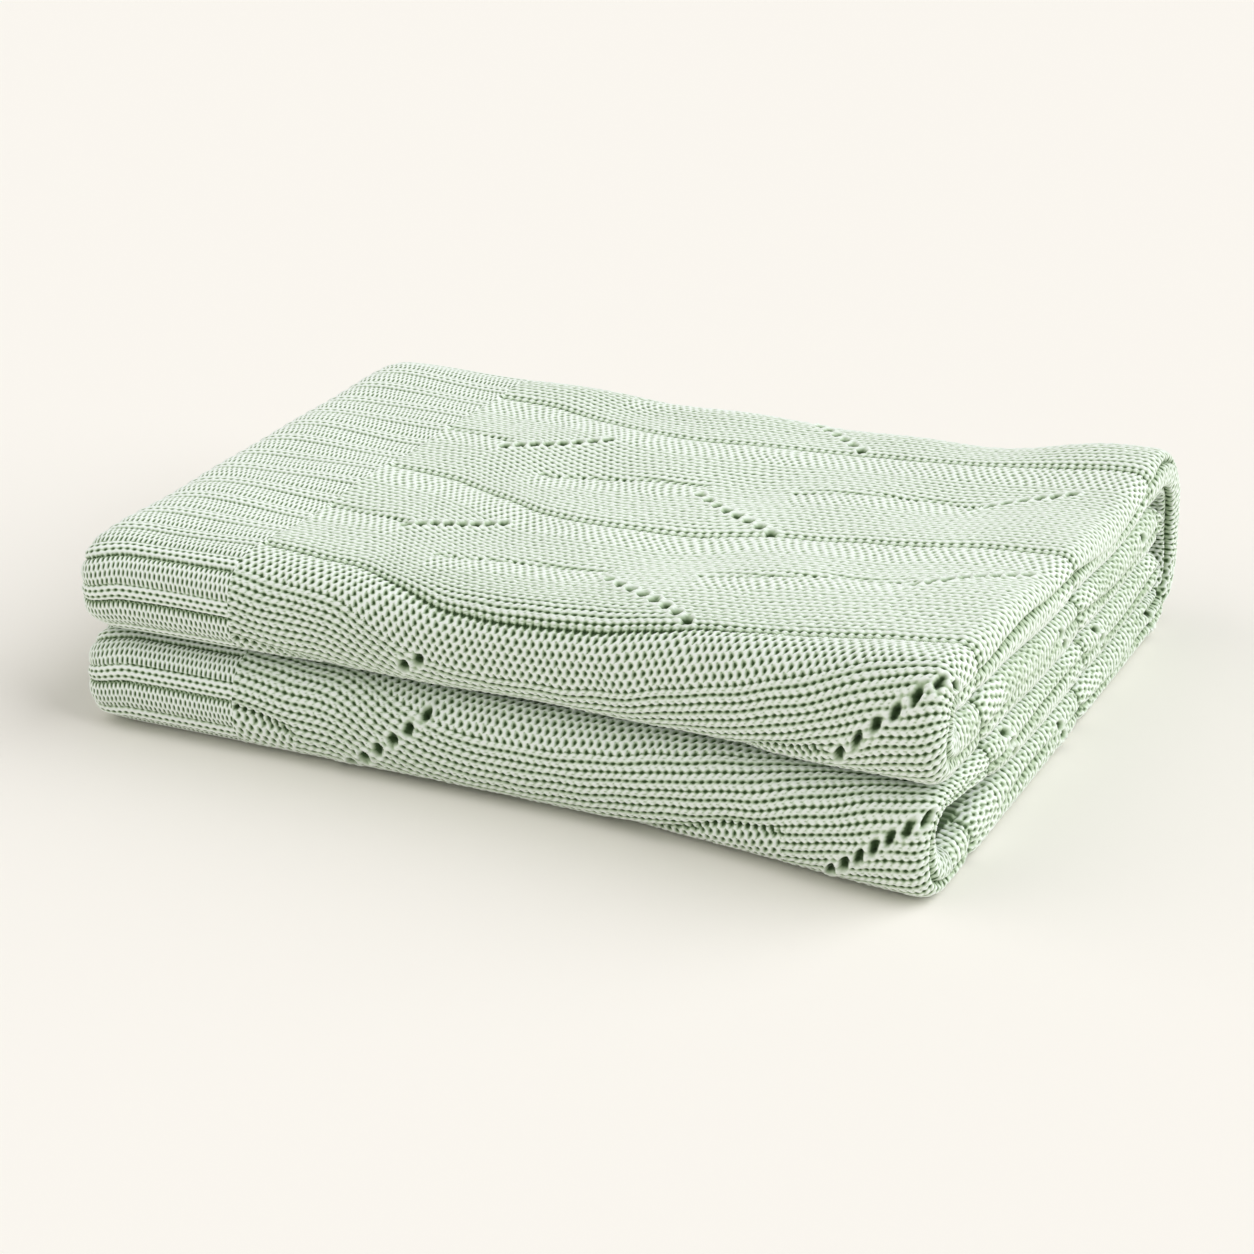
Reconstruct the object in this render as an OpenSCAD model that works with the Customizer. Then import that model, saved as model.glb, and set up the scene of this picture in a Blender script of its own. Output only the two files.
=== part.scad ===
// Folded throw blanket: one thick knitted throw, folded into four leaves.
// The cloth is first laid in four layers, which makes a thick strip.  Both ends of the
// strip are then turned in to its middle, and the strip is closed like a book.
// Millimetres.  X runs along the folds, +Y points at the spine of the book, +Z is up.
// The origin is the centre of the underside.

/* [Folded size] */
// Length along the folds
fold_l = 420; // [300:1:600]
// Depth from the front folds to the outside of the spine
fold_d = 336; // [240:1:480]

/* [Cloth] */
// Thickness of one layer of the knit
layer_t = 5.8; // [3:0.1:7]
// Layers of knit in one leaf
leaf_layers = 4; // [2:1:5]
// Width of the ribbed band along the left end
rib_w = 79; // [30:1:120]

/* [Gaps] */
// Gap between the two leaves of one packet
leaf_gap = 0.6; // [0.3:0.1:3]
// Gap between the upper and the lower packet
packet_gap = 0.6; // [0.4:0.1:3]
// Gap between the stretches of the spine that turn against each other
spine_gap = 0.5; // [0.4:0.1:2]

/* [Hidden] */
$fn = 96;

panel_colour = [0.84, 0.88, 0.82];
rib_colour = [0.76, 0.82, 0.74];

// One leaf, one packet of two leaves, and the whole stack
leaf_t = layer_t * leaf_layers;
packet_h = 2 * leaf_t + leaf_gap;
stack_h = 2 * packet_h + packet_gap;

// The spine turns about this line, and the inner leaves end above and below it
spine_y = fold_d / 2 - stack_h / 2;
spine_z = stack_h / 2;
spine_r_in = stack_h / 2 - leaf_t;
// The front folds turn about lines at this depth
fold_y = -fold_d / 2 + packet_h / 2;
fold_r_in = leaf_gap / 2;
// Middle height of the lower front fold, and the lowest point of each leaf
lower_fold_z = packet_h / 2;
upper_fold_z = stack_h - packet_h / 2;
inner_leaf_z = leaf_t + leaf_gap;

// The spine opens about two lines, each through a quarter turn.  Their places keep the
// cloth along the middle of the spine as long opened flat as it is folded.
open_angle = 90;
spine_mid_r = spine_r_in + leaf_t / 2;
hinge_offset = PI * spine_mid_r / 4;

// The band's inner edge
rib_x = -fold_l / 2 + rib_w;

// Larger than anything that a cutter has to pass through
past = 2 * (fold_l + fold_d);

// The strip's section, with both ends rounded.  It runs along the first axis, and along the
// second it lies between low and low + leaf_t.
module strip_section(low = 0) {
    end_r = leaf_t / 2;
    hull_l = fold_l / 2 - end_r;
    translate([0, low + end_r]) {
        square([2 * hull_l, leaf_t], center = true);
        for (side = [-1, 1]) translate([side * hull_l, 0]) circle(r = end_r);
    }
}

// Keeps the ribbed band, or what lies beyond it
module part_of_strip(rib) {
    intersection() {
        children();
        translate([rib ? -past : rib_x, -past]) square([rib ? past + rib_x : past, 2 * past]);
    }
}

// A flat leaf from one depth to another, with its underside at low
module leaf(rib, low, front, back) {
    translate([0, back, low]) rotate([90, 0, 0]) linear_extrude(back - front)
        part_of_strip(rib) strip_section();
}

// Turns a solid that stands on Z to lie along X, so that its angles run from +Y to +Z
module along_x() {
    rotate([90, 0, 90]) children();
}

// A stretch of the strip bent about a line along X, from one angle to another
module bend(rib, y, z, r_in, from, to) {
    translate([0, y, z]) along_x() rotate([0, 0, from]) rotate_extrude(angle = to - from)
        rotate([0, 0, 90]) mirror([0, 1]) part_of_strip(rib) strip_section(r_in);
}

// The rounded end of a leaf, where the strip stops
module leaf_nose(rib, low, y) {
    translate([0, y, low + leaf_t / 2]) along_x() rotate([0, 0, -90]) rotate_extrude(angle = 180)
        intersection() {
            rotate([0, 0, 90]) mirror([0, 1]) part_of_strip(rib) strip_section(-leaf_t / 2);
            translate([0, -past]) square([past, 2 * past]);
        }
}

// What is left out around a line that the spine opens about: a slit on its inside, and on its
// outside a wedge that closes as the spine opens.  The angle is that of the line seen from
// the middle of the bend.
module opening_relief(angle) {
    half = spine_gap / 2;
    reach = 2 * stack_h;
    spread = reach * tan(open_angle / 2) + half / cos(open_angle / 2);
    corner = (half - half / cos(open_angle / 2)) / tan(open_angle / 2);
    translate([0, spine_y, spine_z]) along_x()
        rotate([0, 0, angle]) translate([hinge_offset * sqrt(2), 0])
            linear_extrude(past, center = true) polygon([
                [-reach, -half], [corner, -half], [reach, -spread],
                [reach, spread], [corner, half], [-reach, half]
            ]);
}

// A stretch of the spine, from one angle to another
module spine_stretch(rib, from, to) {
    difference() {
        bend(rib, spine_y, spine_z, spine_r_in, from, to);
        for (angle = [-open_angle / 2, open_angle / 2]) opening_relief(angle);
    }
}

module cloth(rib) {
    color(rib ? rib_colour : panel_colour) children();
}

// Lower packet
module bottom_leaf(rib) {
    cloth(rib) leaf(rib, 0, fold_y, spine_y);
}
module lower_front_fold(rib) {
    cloth(rib) bend(rib, fold_y, lower_fold_z, fold_r_in, 90, 270);
}
module lower_inner_leaf(rib) {
    cloth(rib) {
        leaf(rib, inner_leaf_z, fold_y, spine_y);
        leaf_nose(rib, inner_leaf_z, spine_y);
    }
}
module lower_spine_turn(rib) {
    cloth(rib) spine_stretch(rib, -90, -open_angle / 2);
}

// Spine
module spine(rib) {
    cloth(rib) spine_stretch(rib, -open_angle / 2, open_angle / 2);
}

// Upper packet
module upper_spine_turn(rib) {
    cloth(rib) spine_stretch(rib, open_angle / 2, 90);
}
module upper_inner_leaf(rib) {
    low = stack_h - inner_leaf_z - leaf_t;
    cloth(rib) {
        leaf(rib, low, fold_y, spine_y);
        leaf_nose(rib, low, spine_y);
    }
}
module upper_front_fold(rib) {
    cloth(rib) bend(rib, fold_y, upper_fold_z, fold_r_in, 90, 270);
}
module top_leaf(rib) {
    cloth(rib) leaf(rib, stack_h - leaf_t, fold_y, spine_y);
}

bottom_leaf(false);  // bottom_leaf_panel
bottom_leaf(true);  // bottom_leaf_rib
lower_front_fold(false);  // lower_front_fold_panel
lower_front_fold(true);  // lower_front_fold_rib
lower_inner_leaf(false);  // lower_inner_leaf_panel
lower_inner_leaf(true);  // lower_inner_leaf_rib
lower_spine_turn(false);  // lower_spine_turn_panel
lower_spine_turn(true);  // lower_spine_turn_rib
spine(false);  // spine_panel
spine(true);  // spine_rib
upper_spine_turn(false);  // upper_spine_turn_panel
upper_spine_turn(true);  // upper_spine_turn_rib
upper_inner_leaf(false);  // upper_inner_leaf_panel
upper_inner_leaf(true);  // upper_inner_leaf_rib
upper_front_fold(false);  // upper_front_fold_panel
upper_front_fold(true);  // upper_front_fold_rib
top_leaf(false);  // top_leaf_panel
top_leaf(true);  // top_leaf_rib
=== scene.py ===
"""Folded knitted throw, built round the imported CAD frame.

The knit is one long strip, four layers thick, that runs from the free edge of the upper inner
leaf, round the upper front fold, over the top, round the spine, along the bottom and round the
lower front fold to the free edge of the lower inner leaf.  A point of its skin has two numbers:
s, which is x on the strip's outer face and goes on round its ends, and t, measured along the
strip, which is y on the top leaf.  Lengths are in millimetres until a mesh is made.
"""

import bpy
import numpy as np
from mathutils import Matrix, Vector


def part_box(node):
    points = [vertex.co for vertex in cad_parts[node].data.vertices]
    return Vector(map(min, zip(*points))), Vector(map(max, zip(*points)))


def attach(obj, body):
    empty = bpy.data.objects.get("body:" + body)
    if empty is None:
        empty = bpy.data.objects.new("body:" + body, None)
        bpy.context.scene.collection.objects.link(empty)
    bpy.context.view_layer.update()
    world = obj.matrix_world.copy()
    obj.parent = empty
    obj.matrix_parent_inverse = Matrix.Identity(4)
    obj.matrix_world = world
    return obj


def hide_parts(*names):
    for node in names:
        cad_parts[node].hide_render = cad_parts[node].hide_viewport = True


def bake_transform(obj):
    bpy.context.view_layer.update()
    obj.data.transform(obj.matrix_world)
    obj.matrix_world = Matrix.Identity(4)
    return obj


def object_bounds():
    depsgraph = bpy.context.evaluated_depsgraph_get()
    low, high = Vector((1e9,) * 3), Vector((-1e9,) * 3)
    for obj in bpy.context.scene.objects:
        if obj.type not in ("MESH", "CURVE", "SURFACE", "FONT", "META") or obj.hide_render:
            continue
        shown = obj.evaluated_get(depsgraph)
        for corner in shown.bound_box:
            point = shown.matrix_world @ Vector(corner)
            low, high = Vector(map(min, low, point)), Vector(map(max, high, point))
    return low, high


MM = 0.001

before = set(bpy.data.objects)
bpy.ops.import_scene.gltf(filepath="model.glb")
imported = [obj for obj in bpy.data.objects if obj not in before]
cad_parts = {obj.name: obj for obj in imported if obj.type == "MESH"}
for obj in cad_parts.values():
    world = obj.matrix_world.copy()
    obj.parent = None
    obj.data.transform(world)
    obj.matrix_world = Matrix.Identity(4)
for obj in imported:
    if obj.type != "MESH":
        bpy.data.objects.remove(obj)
cad_box = [list(corner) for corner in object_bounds()]


# ---------------------------------------------------------------- sizes, from the frame


def node_box(name):
    low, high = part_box(name)
    return np.array(low) / MM, np.array(high) / MM


top_low, top_high = node_box("top_leaf_panel")
rib_low, rib_high = node_box("top_leaf_rib")
_, inner_high = node_box("lower_inner_leaf_panel")

LEFT, RIGHT = rib_low[0], top_high[0]
RIB_X = rib_high[0]             # where the ribbed band meets the panel
LENGTH = RIGHT - LEFT
DEPTH = (cad_box[1][1] - cad_box[0][1]) / MM
STACK = top_high[2]
LEAF = top_high[2] - top_low[2]
LAYER = LEAF / 4
PACKET = inner_high[2]
FOLD_Y, SPINE_Y = top_low[1], top_high[1]
FOLD_R = PACKET / 2
SPINE_R = STACK / 2
LIP_R = LEAF / 2

# Where each stretch begins and ends along the strip
FOLD_ARC = np.pi * FOLD_R
SPINE_ARC = np.pi * SPINE_R
LEAF_RUN = SPINE_Y - FOLD_Y
T_TOP = FOLD_Y
T_SPINE = SPINE_Y
T_BOTTOM = T_SPINE + SPINE_ARC
T_LOWER_FOLD = T_BOTTOM + LEAF_RUN
T_LOWER_INNER = T_LOWER_FOLD + FOLD_ARC
T_END = T_LOWER_INNER + LEAF_RUN
T_UPPER_FOLD = T_TOP - FOLD_ARC
T_START = T_UPPER_FOLD - LEAF_RUN


# ---------------------------------------------------------------- curves and noise


def smooth(edge0, edge1, value):
    """0 at the first edge, 1 at the second, and smooth between them."""
    w = np.clip((value - edge0) / (edge1 - edge0), 0, 1)
    return w * w * (3 - 2 * w)


def hump(distance, width):
    """1 in the middle of a line, and falling to 0 on both sides of it."""
    return np.exp(-(distance / width) ** 2)


def pit(a, a_width, b, b_width, power=2):
    """1 in the middle of a spot, and falling to 0 round it; a and b are the distances from it."""
    return np.exp(-(np.abs(a) / a_width) ** power - (np.abs(b) / b_width) ** power)


def rounded(distance, half_width):
    """Height, 0 to 1, of a round yarn at a distance from its middle line."""
    return np.sqrt(np.clip(1 - (distance / half_width) ** 2, 0, 1))


def catmull(points, per_span):
    """A smooth curve through points, closed at neither end."""
    p = np.vstack([2 * points[0] - points[1], points, 2 * points[-1] - points[-2]])
    out = []
    for i in range(1, len(p) - 2):
        a, b, c, d = p[i - 1], p[i], p[i + 1], p[i + 2]
        for f in np.arange(per_span) / per_span:
            out.append(0.5 * (2 * b + (c - a) * f + (2 * a - 5 * b + 4 * c - d) * f ** 2
                              + (3 * b - a - 3 * c + d) * f ** 3))
    out.append(points[-1])
    return np.array(out)


def share(*pairs):
    """A smooth line through (share of the length, value) pairs: places in mm, and their values."""
    curve = catmull(np.array(pairs, float), 8)
    return curve[:, 0] * LENGTH, curve[:, 1]


rng = np.random.default_rng(7)


def wave_noise(count, wavelength):
    """A smooth noise function of two coordinates, about -1 to 1: a sum of plane waves."""
    angle = rng.uniform(0, 2 * np.pi, count)
    k = 2 * np.pi / wavelength * rng.uniform(0.6, 1.5, count)
    kx, ky = k * np.cos(angle), k * np.sin(angle)
    start = rng.uniform(0, 2 * np.pi, count)

    def noise(a, b):
        total = 0
        for i in range(count):
            total = total + np.sin(kx[i] * a + ky[i] * b + start[i])
        return total / np.sqrt(count)

    return noise


slow_noise = wave_noise(7, 90.0)
tension_noise = wave_noise(7, 28.0)
stitch_noise = wave_noise(9, 7.0)


# ---------------------------------------------------------------- the knit's pattern

COURSE = 3.9            # length of a stitch, along s
RIB_COURSE = 2.35       # and in the ribbed band
YARN = 1.4              # height of the yarn's crown over the gaps
SHUT_AND_PAINTED_LIGHTER_ON_TOP = 0.14      # how far the gaps are made shallower where the cloth lies flat on top, and how far their painted shade is lightened there
RIB_PITCH = 23.0        # from one of the band's ribs to the next, along t
RIB_NARROW = 9.0        # the narrow strip's part of that

# The panel's pattern repeats along t.  A repeat, or band, runs from one long furrow to the next,
# and the stitches lie in rows called wales, which follow the furrows.
BAND = 121.0
WALES = 34              # in a band
STRIP = 7               # wales of open lattice in front of each long furrow
SHORT_STRIP = 5         # and in front of each short one

# Half widths of the furrows' dotted lines and of the valleys round them, and how deep they are
LINE, VALLEY = 1.9, 4.5
SHORT_LINE, SHORT_VALLEY = 1.6, 3.5
LINE_DEPTH, VALLEY_DEPTH, TUCK_DEPTH = 1.4, 1.1, 3.0

# How far the furrows bow to the front, in mm: on the front folds, over the middle of the top and at its back
FRONT_BOW = share(
    (-0.33, 0), (-0.25, -6), (-0.19, -9), (-0.136, -20), (-0.08, -29), (-0.03, -33), (0.03, -34),
    (0.09, -32), (0.15, -28), (0.20, -24), (0.26, -19), (0.32, -12), (0.38, -5), (0.44, 1), (0.52, 8),
)
MIDDLE_BOW = share(
    (-0.33, 0), (-0.25, -3), (-0.21, -7), (-0.167, -17), (-0.12, -27), (-0.07, -36), (0.0, -40),
    (0.05, -38), (0.10, -34), (0.17, -20), (0.22, -16), (0.27, -12), (0.33, -8), (0.40, 2), (0.52, 5),
)
BACK_BOW = share(
    (-0.33, 0), (-0.267, -1), (-0.22, -4), (-0.157, -12), (-0.076, -20), (0.0, -18), (0.10, -11),
    (0.18, -6), (0.28, -7), (0.40, -4), (0.52, -4),
)
FIRST_FURROW_T = T_TOP + 12             # the furrow over the upper front fold, without its bow
LOWER_FURROW_T = T_LOWER_FOLD + 106     # and the one over the lower front fold
BACK_FURROW = 2                         # the one at the back of the top is the second after the first
LOWER_FURROW = 6                        # and the lower one is the sixth
FURROWS = np.arange(-4, 11)

# Shorter furrows inside a band: (place along s, share of the band)
SHORT_FURROWS = (
    share((-0.36, 0.51), (-0.25, 0.495), (-0.205, 0.465)),
    share((-0.14, 0.33), (-0.115, 0.37), (-0.08, 0.455), (-0.03, 0.50), (0.0, 0.51), (0.055, 0.52)),
    share((0.15, 0.49), (0.20, 0.505), (0.25, 0.535), (0.30, 0.565), (0.365, 0.535)),
)

# Rows of eyelets in a band: place along s and share of the band of the first and of the last, and how many
USUAL_ROWS = (
    ((-0.210, 0.420), (-0.114, 0.780), 8),
    ((0.050, 0.430), (0.170, 0.040), 8),
    ((0.350, 0.500), (0.440, 0.730), 7),
    ((0.497, 0.160), (0.530, 0.220), 3),
)
ROWS = {
    -1: (
        ((-0.106, 0.720), (-0.088, 0.775), 2),
        ((0.390, 0.525), (0.510, 0.750), 7),
    ),
    0: (
        ((-0.198, 0.446), (-0.107, 0.790), 8),
        ((0.074, 0.410), (0.198, 0.050), 8),
        ((0.376, 0.500), (0.470, 0.730), 8),
    ),
    1: (
        ((-0.217, 0.400), (-0.121, 0.767), 8),
        ((0.048, 0.405), (0.169, 0.020), 8),
        ((0.340, 0.500), (0.430, 0.720), 7),
    ),
    2: (
        ((-0.225, 0.400), (-0.130, 0.767), 8),
        ((0.036, 0.480), (0.150, 0.050), 8),
    ),
    LOWER_FURROW - 1: (
        ((-0.210, 0.280), (-0.083, 0.800), 8),
        ((0.385, 0.400), (0.495, 0.570), 7),
    ),
}
EYELET_REACH = 9        # nothing further from an eyelet's middle is changed by it


def furrow_t(number, s):
    """Where a long furrow lies along t, for places along s."""
    front, middle, back = (np.interp(s, *bow) for bow in (FRONT_BOW, MIDDLE_BOW, BACK_BOW))
    if number <= BACK_FURROW:
        base = FIRST_FURROW_T + number * BAND
    else:
        back_t = FIRST_FURROW_T + BACK_FURROW * BAND
        base = np.interp(number, (BACK_FURROW, LOWER_FURROW), (back_t, LOWER_FURROW_T))
        base += max(0, number - LOWER_FURROW) * BAND
    like_front = np.interp(number, (0, 1, BACK_FURROW, LOWER_FURROW), (1, 0, 0, 1))
    like_middle = np.interp(number, (0, 1, BACK_FURROW), (0, 1, 0))
    like_back = np.interp(number, (1, BACK_FURROW, LOWER_FURROW), (0, 1, 0))
    return base + like_front * front + like_middle * middle + like_back * back


def band_phase(s, t):
    """Bands since the first furrow, with places along s in a column and along t in a row."""
    lines = [furrow_t(number, s) for number in FURROWS]
    phase = FURROWS[0] + 0 * t
    for low, high in zip(lines[:-1], lines[1:]):
        phase = phase + np.clip((t - low) / (high - low), 0, 1)
    return phase


def gap_depth_and_shade(t):
    """How deep the gaps are and how dark their painted shade is: a little less where the cloth lies flat on
    top than anywhere else, which paints the top lighter.
    """
    shut = SHUT_AND_PAINTED_LIGHTER_ON_TOP * smooth(T_TOP, T_TOP + 30, t)
    return 1 - shut * (1 - smooth(T_SPINE - 10, T_SPINE + 20, t))


# ---------------------------------------------------------------- stitches

# Heights here are 0 in a gap and 1 on a yarn's crown, and the same values set the knit's colour, so the gaps
# are darkened with painted shade.  u and gap_u run 0 to 1 along a stitch, from its V and from its gap, and v
# is -0.5 to 0.5 across the row.  Gaps lie between one row and the next.


def rows_of_knit(u, v, gap_u):
    """The plain knit: rows of V-shaped stitches, with a line of gaps between each two rows."""
    starts_at, slope, half_width = 0.12, 0.21, 0.215    # of a V's leg, in row widths
    before, long = 0.18, 1.36                           # where it begins before its stitch, and its length
    side = np.abs(v)
    legs = np.zeros_like(side)
    for shift in (-1, 0, 1):
        along = u - shift
        middle = starts_at + slope * along
        rise = np.sin(np.pi * np.clip((along + before) / long, 0, 1))
        for across in (side, 1 - side):
            crown = rounded(across - middle, half_width) * (0.25 + 0.75 * rise)
            legs = np.maximum(legs, np.where(rise > 0, crown, 0))
    row = rounded(side, 0.54)
    gap = pit(0.5 - side, 0.25, gap_u - 0.5, 0.27)
    return (0.12 + 0.43 * row + 0.45 * legs) * (1 - 0.97 * gap)


def lattice(v, gap_u):
    """The strips in front of the furrows: yarns that zigzag along t between staggered gaps."""
    side = np.abs(v)
    gap = pit(0.5 - side, 0.33, gap_u - 0.5, 0.29, power=1.6)
    across_yarn = np.abs((gap_u + 0.22 * (1 - 2 * side) + 0.5) % 1 - 0.5)
    return (0.36 + 0.64 * rounded(across_yarn, 0.5)) * (1 - 0.97 * gap)


def narrow_rows(v, gap_u):
    """The rib's narrow strips: smooth rows with a line of gaps between each two."""
    side = np.abs(v)
    gap = pit(0.5 - side, 0.27, gap_u - 0.5, 0.29)
    return (0.25 + 0.75 * rounded(side, 0.56)) * (1 - gap)


def strokes(u, v):
    """The rib's wide strips: upright yarns with long gaps between them."""
    gap = np.exp(-((u - 0.5) / 0.21) ** 2 - (v / 0.36) ** 4)
    return (0.85 + 0.15 * np.cos(2 * np.pi * u)) * (1 - gap)


def rib(s, t):
    """The ribbed band, of narrow and wide strips by turns: relief in mm, yarn and stitch coordinates."""
    wide = RIB_PITCH - RIB_NARROW
    t = t + 4 * (1 - smooth(LEFT + 2, LEFT + 26, s))    # the ribs bend at the left end
    place = (t / RIB_PITCH) % 1 * RIB_PITCH
    in_narrow = place < RIB_NARROW
    wale = np.where(in_narrow, place / (RIB_NARROW / 3), 3 + (place - RIB_NARROW) / (wide / 4))
    lane = wale - np.floor(wale) - 0.5
    course = (s + 0.5 * tension_noise(t, s)) / RIB_COURSE
    step = course - np.floor(course)

    # The gaps of neighbouring wales are staggered, and those between narrow rows are further apart
    shifted = (course + 0.5 * (np.floor(wale) % 2)) % 1
    between = (0.67 * course + 0.5 * (np.round(wale) % 2)) % 1
    yarn = np.where(in_narrow, narrow_rows(lane, between), strokes(shifted, lane))
    yarn = 1 - (1 - yarn) * gap_depth_and_shade(t)

    # Each strip is a little round, and a dashed line lies where two of them meet, sunk in the relief and
    # darkened with painted shade
    narrow_round = np.sin(np.pi * np.clip(place / RIB_NARROW, 0, 1))
    wide_round = np.sin(np.pi * np.clip((place - RIB_NARROW) / wide, 0, 1))
    cord = np.where(in_narrow, narrow_round, wide_round)
    line = hump(np.minimum(place, RIB_PITCH - place), 1.0)
    line = np.maximum(line, 0.4 * hump(place - RIB_NARROW, 0.8))
    dashes = 0.55 + 0.45 * np.cos(2 * np.pi * step)
    relief = 0.6 * YARN * (yarn - 1) + 0.9 * (cord - 1) - line
    return relief, yarn * (1 - 0.85 * line * dashes), course, wale


def tucks(s, t):
    """Creases in the folded right end, 0 to 1, where its turned layers lie on each other; they sink the
    relief and darken the colour with painted shade.
    """
    round_end = s - (RIGHT - LIP_R)
    at_spine = smooth(T_SPINE - 40, T_SPINE + 20, t) * (1 - smooth(T_BOTTOM - 20, T_BOTTOM + 40, t))
    depth = np.clip(0.7 + 0.5 * slow_noise(t, 40.0), 0.2, 1) * (1 - at_spine) + at_spine
    # One winds along the whole strip, and a second one is there on the spine
    first = LIP_R * (1.62 + 0.25 * np.sin(t / 31) - 0.35 * at_spine)
    second = LIP_R * (2.35 + 0.15 * np.sin(t / 23))
    return np.maximum(depth * hump(round_end - first, 1.8), at_spine * hump(round_end - second, 1.5))


def panel(s, t):
    """The patterned part: relief in mm, yarn (0 gap to 1 crown) and stitch coordinates."""
    phase = band_phase(s, t + 0.3 * tension_noise(s, t))
    band = np.floor(phase)
    part = phase - band
    wale = phase * WALES + 0.5
    course = (s + 0.6 * tension_noise(t, s)) / COURSE
    lane = wale - np.round(wale)
    step = course - np.floor(course)
    gap_step = (course + 0.5 * (np.floor(wale) % 2)) % 1    # the gaps of neighbouring lines are staggered
    row = (np.round(wale) - 0.5) / WALES
    row = (row - np.floor(row)) * WALES             # wales from the furrow to the middle of this one
    in_strip = WALES - row < STRIP

    from_line = ((part + 0.5) % 1 - 0.5) * BAND
    line = hump(from_line, LINE)
    valley = hump(from_line, VALLEY)
    for short in SHORT_FURROWS:
        # These lie a little further left in each band on the top than in the one before
        at = s - 0.02 * LENGTH * (0.5 - np.clip(band, 0, 2))
        start, end = short[0][0], short[0][-1]
        here = smooth(start - 4, start + 4, at) * (1 - smooth(end - 6, end + 2, at))
        away = row - np.interp(at, *short) * WALES
        in_strip = in_strip | ((away < 0) & (away > -SHORT_STRIP) & (here > 0.5))
        from_short = (part - np.interp(at, *short)) * BAND
        line = np.maximum(line, here * hump(from_short, SHORT_LINE))
        valley = np.maximum(valley, here * hump(from_short, SHORT_VALLEY))
    # The furrows' dots sink the relief and darken the yarn value: painted shade in the holes along each line
    stitch_dot = (0.5 + 0.5 * np.cos(2 * np.pi * (step - 0.12))) ** 2
    dots = line * (0.04 + 0.96 * stitch_dot)

    yarn = np.where(in_strip, lattice(lane, gap_step), rows_of_knit(step, lane, gap_step))
    yarn = 1 - (1 - yarn) * gap_depth_and_shade(t)
    # The creases sink the relief and darken the yarn value: painted shade in the creases
    crease = tucks(s, t)
    relief = YARN * (yarn - 1) - LINE_DEPTH * dots - VALLEY_DEPTH * valley - TUCK_DEPTH * crease
    yarn = yarn * (1 - 0.95 * dots) * (1 - 0.45 * crease)
    open_eyelets(s, part, band, relief, yarn)
    return relief + 0.12 * stitch_noise(s, t), yarn, course, wale


def open_eyelets(s, part, band, relief, yarn):
    """Sinks the eyelets into the relief, with the yarn drawn up round them, and darkens the holes with
    painted shade.
    """
    for number in np.unique(band):
        for (s0, p0), (s1, p1), count in ROWS.get(int(number), USUAL_ROWS):
            for f in np.linspace(0, 1, count):
                centre = (s0 + (s1 - s0) * f) * LENGTH
                rows = np.abs(s[:, 0] - centre) < EYELET_REACH
                if not rows.any():
                    continue
                dt = (part[rows] - p0 - (p1 - p0) * f) * BAND
                ds = s[rows] - centre - 0.25 * np.sign(p1 - p0) * dt    # an eyelet leans the way its row does
                near = (band[rows] == number) & (np.abs(dt) < EYELET_REACH)
                gap = near * np.exp(-((ds / 2.2) ** 2 + (dt / 3.2) ** 2) ** 1.5)
                core = near * pit(ds + 0.4, 1.3, dt, 2.1)
                rim = near * hump(np.hypot(ds, 0.7 * dt) - 3.1, 1.0)
                relief[rows] += 0.7 * rim - 3.2 * gap
                yarn[rows] += (0.9 - yarn[rows]) * 0.6 * rim
                # Painted shade: the eyelet's hole and its deeper core are darkened
                yarn[rows] *= (1 - 0.75 * gap) * (1 - 0.85 * core)


JOIN_HALF, JOIN_HEIGHT = 1.2, -0.6      # the band and the panel meet at this height, within this distance


def knit(in_rib, s, t):
    """What the knit is at each point of a piece, with places along s in a column and along t in a row."""
    relief, yarn, course, wale = (rib if in_rib else panel)(s + 0 * t, t + 0 * s)
    joined = smooth(JOIN_HALF, 0, np.abs(s - RIB_X))
    relief = relief + (JOIN_HEIGHT - relief) * joined
    return relief, np.clip(yarn, 0, 1), course, wale


# ---------------------------------------------------------------- the strip's section

# The left end, from the skin's upper face round to its lower one: the edge of the outer layer
# hangs over the edge of the second, and under them lies the fold of the other two.
# Distance from the left end, and depth below the upper face, in layers.
LEFT_END = np.array([
    (3.0, 0.0), (2.1, 0.05), (1.25, 0.2), (0.6, 0.55), (0.15, 1.1), (0.0, 1.6), (0.15, 2.0), (0.7, 2.1),
    (1.15, 2.2), (0.8, 2.4), (0.75, 2.65), (1.1, 2.85), (1.6, 2.9), (1.2, 3.05), (1.05, 3.4), (1.3, 3.75),
    (1.9, 3.95), (2.8, 4.0), (3.8, 4.0),
])
SQUARE = 2.6        # 2 makes a bend a half circle, and more makes it squarer


def square(sine, cosine):
    """How much further than a circle a superellipse reaches in a direction."""
    return (np.abs(sine) ** SQUARE + np.abs(cosine) ** SQUARE) ** (-1 / SQUARE)


def outline(points):
    """Places along a polyline, its points and its outward normals (x, depth); the outside is on its left."""
    step = np.gradient(points, axis=0)
    length = np.concatenate([[0], np.cumsum(np.linalg.norm(np.diff(points, axis=0), axis=1))])
    normal = np.stack([step[:, 1], -step[:, 0]], 1)
    normal /= np.linalg.norm(normal, axis=1)[:, None]
    return length, points, normal


def face(x_from, x_to, depth, count):
    """Points along the strip's upper or lower face."""
    return np.stack([np.linspace(x_from, x_to, count), np.full(count, depth)], 1)


def right_section():
    """The panel part: along the upper face, round the lip, and back along the lower face."""
    a = np.linspace(0, np.pi, 61)
    reach = LIP_R * square(np.sin(a), np.cos(a))
    lip = np.stack([RIGHT - LIP_R + reach * np.sin(a), LIP_R - reach * np.cos(a)], 1)
    top = face(RIB_X, RIGHT - LIP_R, 0, 200)[:-1]
    low = face(RIGHT - LIP_R, RIB_X, LEAF, 200)[1:]
    return outline(np.vstack([top, lip, low]))


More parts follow.
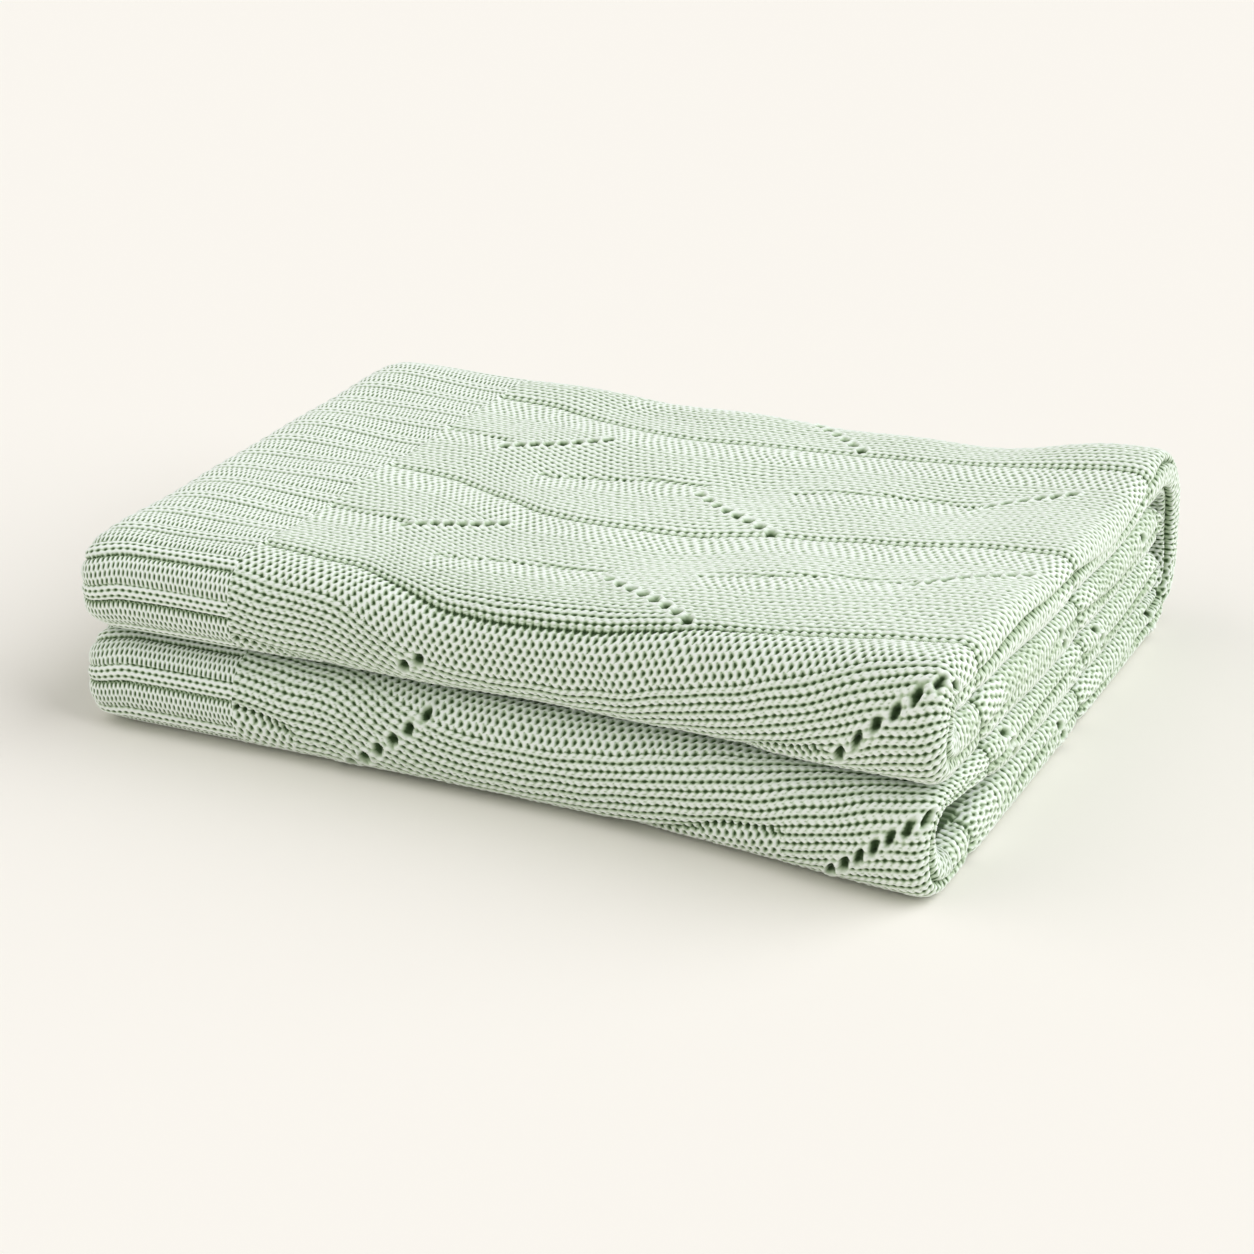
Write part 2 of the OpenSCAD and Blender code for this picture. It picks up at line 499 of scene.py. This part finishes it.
def left_section():
    """The rib part, the other way round: from the band's inner edge to the left end and back."""
    curve = catmull(LEFT_END * LAYER + np.array([LEFT, 0]), 6)
    top = face(RIB_X, curve[0, 0], 0, 60)[:-1]
    low = face(curve[-1, 0], RIB_X, LEAF, 60)[1:]
    length, points, normal = outline(np.vstack([top, curve, low]))
    return length, points, -normal


SECTIONS = {False: right_section(), True: left_section()}


def section(in_rib, distance):
    """x, depth under the skin's upper face and outward normal, at distances from the band's inner edge."""
    length, points, normal = SECTIONS[in_rib]
    x = np.interp(distance, length, points[:, 0])
    depth = np.interp(distance, length, points[:, 1])
    nx = np.interp(distance, length, normal[:, 0])
    nd = np.interp(distance, length, normal[:, 1])
    size = np.hypot(nx, nd)
    return x, depth, nx / size, nd / size


# ---------------------------------------------------------------- the strip's path


def path(t):
    """For places along the strip: a point (y, z) on its outer face and the direction outwards there."""
    t = np.asarray(t, float)
    y, z = np.zeros_like(t), np.zeros_like(t)
    ny, nz = np.zeros_like(t), np.zeros_like(t)

    def flat(mask, y_of, height, up):
        y[mask], z[mask] = y_of(t[mask]), height
        ny[mask], nz[mask] = 0, up

    def bend(mask, cy, cz, radius, angle_of):
        a = angle_of(t[mask])
        ny[mask], nz[mask] = np.cos(a), np.sin(a)
        reach = radius * square(ny[mask], nz[mask])
        y[mask], z[mask] = cy + reach * ny[mask], cz + reach * nz[mask]

    flat(t < T_UPPER_FOLD, lambda q: FOLD_Y + (T_UPPER_FOLD - q), STACK - PACKET, -1)
    bend((t >= T_UPPER_FOLD) & (t < T_TOP), FOLD_Y, STACK - FOLD_R, FOLD_R,
         lambda q: -np.pi / 2 - (q - T_UPPER_FOLD) / FOLD_R)
    flat((t >= T_TOP) & (t < T_SPINE), lambda q: q, STACK, 1)
    bend((t >= T_SPINE) & (t < T_BOTTOM), SPINE_Y, SPINE_R, SPINE_R,
         lambda q: np.pi / 2 - (q - T_SPINE) / SPINE_R)
    flat((t >= T_BOTTOM) & (t < T_LOWER_FOLD), lambda q: SPINE_Y - (q - T_BOTTOM), 0, -1)
    bend((t >= T_LOWER_FOLD) & (t < T_LOWER_INNER), FOLD_Y, FOLD_R, FOLD_R,
         lambda q: -np.pi / 2 - (q - T_LOWER_FOLD) / FOLD_R)
    flat(t >= T_LOWER_INNER, lambda q: FOLD_Y + (q - T_LOWER_INNER), PACKET, 1)
    return y, z, ny, nz


def settle(x, y, z):
    """How the soft stack has settled: one smooth field for every leaf, so that none cuts another.
    The folded right end stands higher than the edges on the left, the back has sunk in its middle,
    and the corner at the front right is drawn forward."""
    # across and back are -1 to 1 over the stack, up is 0 to 1, and the other amounts are millimetres
    across, back, up = x / (LENGTH / 2), y / (DEPTH / 2), z / STACK
    tilt = 2 * up - 1
    to_right = ((1 + across) / 2).clip(0) ** 2
    to_left = ((1 - across) / 2).clip(0) ** 2
    to_front = ((1 - back) / 2).clip(0) ** 2
    to_back = ((1 + back) / 2).clip(0) ** 2
    back_corner = np.exp(-(across - 1) ** 2 / 0.12 - (back - 1) ** 2 / 0.3)
    front_corner = np.exp(-((across - 1) ** 2 + (back + 1) ** 2) / 0.2)
    front_right = np.exp(-(across - 1) ** 2 / 0.6 - (back + 1) ** 2 / 0.8)

    rise = -8.9 + 3.6 * across - 7.6 * back - 2.7 * across * back + 1.9 * across ** 2 - 0.7 * back ** 2
    rise = rise + 14 * back_corner + 1.7 * front_corner + front_right * (5.6 * up - 10 * (1 - up))
    rise = rise + slow_noise(x, y)
    dx = to_right * (0.5 * back ** 2 + 0.7 * back - 3.0) + to_left * (0.4 * back ** 2 - 2.0 * tilt - 2.5)
    dy = to_front * (2.5 * tilt - 2.3 * across ** 2 - 0.9 * across - 0.5) - 3.6 * to_back
    return x + dx - front_corner, y + dy - 12 * front_corner, (z + up * rise).clip(0)


# ---------------------------------------------------------------- the skin

# The lower front fold isn't pressed shut at its right end: how much thinner its lower and upper
# halves are there, how far the opening reaches along t and s, and how far its middle is drawn in
EYE_LOW, EYE_HIGH = 0.15, 0.60
EYE_REACH = 72
EYE_LEFT, EYE_RIGHT = RIGHT - 45, RIGHT - 10
EYE_DRAWN_IN = 4.0

# A face that lies on another leaf has plain rows: their height, tone and stripes
BACK_RELIEF, BACK_TONE, BACK_STRIPES = 0.4, 0.62, 0.28

# Past a free edge the strip closes in a rounded end, with grooves between its layers
GROOVE_WIDTH, GROOVE_DEPTH = 0.7, 2.0


def skin(in_rib, distance, t, smooth_only=False):
    """Points of the skin, its yarn heights and stitch coordinates, on the grid distance by t."""
    x, depth, nx, nd = (a[:, None] for a in section(in_rib, distance))
    past_end = np.maximum(T_START - t, t - T_END).clip(0)
    y0, z0, ny, nz = path(np.clip(t, T_START, T_END))
    s = (RIB_X - distance if in_rib else RIB_X + distance)[:, None]
    if smooth_only:
        relief = yarn = course = wale = np.zeros((len(distance), len(t)))
    else:
        relief, yarn, course, wale = knit(in_rib, s, t[None, :])

    on_back = smooth(LEAF - 0.01, LEAF, depth)
    rows = np.cos(2 * np.pi * wale)
    relief = relief + (BACK_RELIEF * (rows - 1) - relief) * on_back
    yarn = yarn + (BACK_TONE + BACK_STRIPES * rows - yarn) * on_back

    turn = (past_end / LIP_R)[None, :]
    d = LIP_R + (depth + nd * relief - LIP_R) * np.cos(turn)
    from_joint = ((d / LAYER + 0.5) % 1 - 0.5) * LAYER
    groove = hump(from_joint, GROOVE_WIDTH) * (np.abs(d - LIP_R) < 1.5 * LAYER)

    past_middle = (t - (T_LOWER_FOLD + FOLD_ARC / 2))[None, :]
    at_eye = np.exp(-((past_middle - 5) / EYE_REACH) ** 4) * smooth(EYE_LEFT, EYE_RIGHT, x)
    d = d * (1 - (EYE_LOW + (EYE_HIGH - EYE_LOW) * smooth(0, 30, past_middle)) * at_eye)
    # Painted shade: the hidden faces seen through the opening are darkened nearly to black
    yarn = yarn * (1 - 0.97 * at_eye * on_back)
    drawn_in = EYE_DRAWN_IN * hump(past_middle - 4, 24) * smooth(RIGHT - 60, RIGHT, x)

    px = x + nx * relief - drawn_in
    py = y0[None, :] - ny[None, :] * d + (LIP_R - GROOVE_DEPTH * groove) * np.sin(turn)
    pz = z0[None, :] - nz[None, :] * d
    return np.stack(settle(px, py, pz), -1), yarn, course, wale


# ---------------------------------------------------------------- materials


def node(tree, kind, at, **settings):
    n = tree.nodes.new(kind)
    n.location = at
    for key, value in settings.items():
        setattr(n, key, value)
    return n


# Colours of the knit from deep between the yarns to their crowns: the dark low end is painted shade in the
# gaps, and the pale top end is the yarn's own mint
TONES = (
    (0.00, (0.020, 0.045, 0.012)),
    (0.30, (0.075, 0.130, 0.052)),
    (0.55, (0.47, 0.585, 0.40)),
    (0.80, (0.87, 0.935, 0.86)),
    (1.00, (0.95, 0.985, 0.955)),
)


def make_knit_material():
    material = bpy.data.materials.new("mint_knit")
    material.use_nodes = True
    tree = material.node_tree
    shader = tree.nodes["Principled BSDF"]
    yarn = node(tree, "ShaderNodeAttribute", (-1200, 200), attribute_name="yarn")
    stitch = node(tree, "ShaderNodeAttribute", (-1200, -200), attribute_name="stitch")

    # Plies and fibres, drawn out along each stitch
    fibres = node(tree, "ShaderNodeTexNoise", (-900, -200))
    fibres.inputs["Scale"].default_value = 3.2
    fibres.inputs["Detail"].default_value = 4.0
    tree.links.new(stitch.outputs["Vector"], fibres.inputs["Vector"])

    # The ramp turns low yarn values into painted shade
    ramp = node(tree, "ShaderNodeValToRGB", (-600, 200))
    for place, _ in TONES[1:-1]:
        ramp.color_ramp.elements.new(place)
    for element, (place, colour) in zip(ramp.color_ramp.elements, TONES):
        element.position = place
        element.color = (*colour, 1)
    tree.links.new(yarn.outputs["Fac"], ramp.inputs["Fac"])
    tree.links.new(ramp.outputs["Color"], shader.inputs["Base Color"])

    bump = node(tree, "ShaderNodeBump", (-300, -200))
    bump.inputs["Strength"].default_value = 0.35
    bump.inputs["Distance"].default_value = 0.0004
    tree.links.new(fibres.outputs["Fac"], bump.inputs["Height"])
    tree.links.new(bump.outputs["Normal"], shader.inputs["Normal"])
    shader.inputs["Roughness"].default_value = 0.9
    shader.inputs["Specular IOR Level"].default_value = 0.2
    shader.inputs["Sheen Weight"].default_value = 0.5
    shader.inputs["Sheen Roughness"].default_value = 0.4
    return material


knit_material = make_knit_material()


# ---------------------------------------------------------------- pieces

GRID = 0.6               # spacing of the points where the knit is seen
HIDDEN = 9.0                                    # and on faces that lie on another leaf
NOSE = LIP_R * np.pi / 2                        # the rounded end past a free edge
SEEN = RIGHT - LIP_R - RIB_X + np.pi * LIP_R    # the panel's outer face and its lip


def spaced(start, end, step):
    return np.linspace(start, end, max(2, int(np.ceil((end - start) / step)) + 1))


def distances(in_rib, step, back_step):
    """Where the grid's lines cross the section."""
    length, points, _ = SECTIONS[in_rib]
    turned = length[np.argmax(points[:, 1] >= LEAF - 1e-6)]
    return np.concatenate([spaced(0, turned, step), spaced(turned, length[-1], back_step)[1:]])


def build_mesh(name, points, quads):
    mesh = bpy.data.meshes.new(name)
    mesh.vertices.add(points.shape[0] * points.shape[1])
    mesh.vertices.foreach_set("co", (points * MM).astype(np.float32).ravel())
    mesh.loops.add(quads.size)
    mesh.loops.foreach_set("vertex_index", quads.astype(np.int32).ravel())
    mesh.polygons.add(len(quads))
    mesh.polygons.foreach_set("loop_start", np.arange(0, quads.size, 4, dtype=np.int32))
    mesh.polygons.foreach_set("use_smooth", np.ones(len(quads), bool))
    mesh.update(calc_edges=True)
    return mesh


def add_bake_map(mesh, quads, across, along):
    """The map for baking, which gives the hidden face a tenth of its width."""
    seen = np.minimum(across, SEEN)
    wide = seen + 0.1 * (across - seen)
    u = (wide / wide[-1])[:, None]
    v = ((along - along[0]) / (along[-1] - along[0]))[None, :]
    uv = np.stack(np.broadcast_arrays(u, v), -1).reshape(-1, 2)
    layer = mesh.uv_layers.new(name="OFBake")
    layer.data.foreach_set("uv", uv[quads.ravel()].astype(np.float32).ravel())


def cut_area(in_rib, width, t_from, t_to):
    """Area of the skin as cut, without relief: on a bend its inner face is shorter than its outer one."""
    flat_skin = skin(in_rib, spaced(0, width, 3), spaced(t_from, t_to, 3), smooth_only=True)[0] * MM
    down = np.diff(flat_skin, axis=0)[:, 1:]
    over = np.diff(flat_skin, axis=1)[1:]
    return np.linalg.norm(np.cross(down, over), axis=-1).sum()


def make_piece(name, in_rib, t_from, t_to, step, back_step=HIDDEN):
    """One stretch of the strip as a mesh, with what its material needs on its points."""
    across, along = distances(in_rib, step, back_step), spaced(t_from, t_to, step)
    points, yarn, course, wale = skin(in_rib, across, along)
    index = np.arange(yarn.size).reshape(yarn.shape)
    a, b, c, d = index[:-1, :-1], index[1:, :-1], index[1:, 1:], index[:-1, 1:]
    quads = np.stack([a, d, c, b] if in_rib else [a, b, c, d], -1).reshape(-1, 4)

    mesh = build_mesh(name, points, quads)
    # yarn is the yarn's height and also its colour: low values are painted shade in the gaps
    mesh.attributes.new("yarn", "FLOAT", "POINT").data.foreach_set("value", yarn.astype(np.float32).ravel())
    stitch = np.stack([course, wale, 0 * wale], -1).astype(np.float32)
    mesh.attributes.new("stitch", "FLOAT_VECTOR", "POINT").data.foreach_set("vector", stitch.ravel())
    add_bake_map(mesh, quads, across, along)

    piece = bpy.data.objects.new(name, mesh)
    bpy.context.scene.collection.objects.link(piece)
    mesh.materials.append(knit_material)
    area = cut_area(in_rib, across[-1], t_from, t_to)
    return piece


# ---------------------------------------------------------------- the blanket

SPINE_MIDDLE = (T_SPINE + T_BOTTOM) / 2

STRETCHES = [
    # name, body, from, to, spacing of the points, pieces along the panel
    ("upper_inner_leaf", "upper_packet", T_START - NOSE, T_UPPER_FOLD, 2 * GRID, 1),
    ("upper_front_fold", "upper_packet", T_UPPER_FOLD, T_TOP, GRID, 1),
    ("top_leaf", "upper_packet", T_TOP, T_SPINE, GRID, 3),
    ("bottom_leaf", "lower_packet", T_BOTTOM, T_LOWER_FOLD, 2 * GRID, 1),
    ("lower_front_fold", "lower_packet", T_LOWER_FOLD, T_LOWER_INNER, GRID, 1),
    ("lower_inner_leaf", "lower_packet", T_LOWER_INNER, T_END + NOSE, 2 * GRID, 1),
]


def make_stretch(in_rib, name, body, t_from, t_to, step, count):
    """A stretch that rides on one body, in as many pieces as keep each mesh small."""
    cuts = np.linspace(t_from, t_to, (1 if in_rib else count) + 1)
    for i in range(len(cuts) - 1):
        label = f"knit_{name}" + (f"_{i + 1}" if len(cuts) > 2 else "")
        piece = make_piece(label, in_rib, cuts[i], cuts[i + 1], step)
        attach(piece, body)
        if i == 0:
            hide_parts(name)


def make_spine_half(in_rib, end, upper):
    """Half of the spine, from its middle to the packet that it leads to."""
    packet, side = ("upper", 1) if upper else ("lower", -1)
    t_from, t_to = (T_SPINE, SPINE_MIDDLE) if upper else (SPINE_MIDDLE, T_BOTTOM)
    piece = make_piece(f"knit_spine_{packet}_{end}", in_rib, t_from, t_to, GRID, 4 * GRID)
    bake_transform(piece)
    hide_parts(f"{packet}_spine_turn_{end}", *([f"spine_{end}"] if upper else []))


for in_rib, end in ((False, "panel"), (True, "rib")):
    for name, *rest in STRETCHES:
        make_stretch(in_rib, f"{name}_{end}", *rest)
    for upper in (True, False):
        make_spine_half(in_rib, end, upper)


# ---------------------------------------------------------------- stage, light and camera

FLOOR_SIZE = 40 * LENGTH * MM

CAMERA_AZIMUTH, CAMERA_ELEVATION = 23.9, 24.3
CAMERA_DISTANCE = 3.952 * LENGTH * MM
LENS, SENSOR = 100.3, 36.0
# How far the aim is to the left of and above the stack's base, as a share of the distance
AIM_LEFT, AIM_UP = 0.00839, 0.01007


def make_floor():
    mesh = bpy.data.meshes.new("floor")
    half = FLOOR_SIZE / 2
    corners = [(-half, -half, 0), (half, -half, 0), (half, half, 0), (-half, half, 0)]
    mesh.from_pydata(corners, [], [(0, 1, 2, 3)])
    material = bpy.data.materials.new("floor")
    material.use_nodes = True
    shader = material.node_tree.nodes["Principled BSDF"]
    shader.inputs["Base Color"].default_value = (0.925, 0.892, 0.84, 1)
    shader.inputs["Roughness"].default_value = 1.0
    shader.inputs["Specular IOR Level"].default_value = 0.0
    mesh.materials.append(material)
    floor = bpy.data.objects.new("floor", mesh)
    bpy.context.scene.collection.objects.link(floor)


def direction(azimuth, elevation):
    """Towards a place seen from the stack: azimuth 0 is in front of it, and 90 on its right."""
    a, e = np.radians(azimuth), np.radians(elevation)
    return Vector((np.sin(a) * np.cos(e), -np.cos(a) * np.cos(e), np.sin(e)))


def sun(name, azimuth, elevation, spread, strength, colour):
    light = bpy.data.lights.new(name, "SUN")
    light.energy = strength
    light.angle = np.radians(spread)
    light.color = colour
    lamp = bpy.data.objects.new(name, light)
    lamp.rotation_mode = "QUATERNION"
    lamp.rotation_quaternion = direction(azimuth, elevation).to_track_quat("Z", "Y")
    bpy.context.scene.collection.objects.link(lamp)


def make_world():
    world = bpy.data.worlds.new("studio")
    world.use_nodes = True
    background = world.node_tree.nodes["Background"]
    background.inputs["Color"].default_value = (1, 0.99, 0.975, 1)
    background.inputs["Strength"].default_value = 0.45
    bpy.context.scene.world = world
    bpy.context.scene.view_settings.view_transform = "Standard"


def make_camera():
    data = bpy.data.cameras.new("camera")
    data.lens = LENS
    data.sensor_width = SENSOR
    camera = bpy.data.objects.new("camera", data)
    bpy.context.scene.collection.objects.link(camera)
    back = direction(CAMERA_AZIMUTH, CAMERA_ELEVATION)
    rightward = Vector((0, 0, 1)).cross(back).normalized()
    upward = back.cross(rightward)
    aim = (upward * AIM_UP - rightward * AIM_LEFT) * CAMERA_DISTANCE
    camera.location = back * CAMERA_DISTANCE
    camera.rotation_mode = "QUATERNION"
    camera.rotation_quaternion = (camera.location - aim).to_track_quat("Z", "Y")
    bpy.context.scene.camera = camera


make_floor()
sun("key", 112, 38, 70, 2.30, (0.965, 0.98, 1))
sun("fill", -58, 32, 80, 0.90, (1, 0.98, 0.92))
make_world()
make_camera()
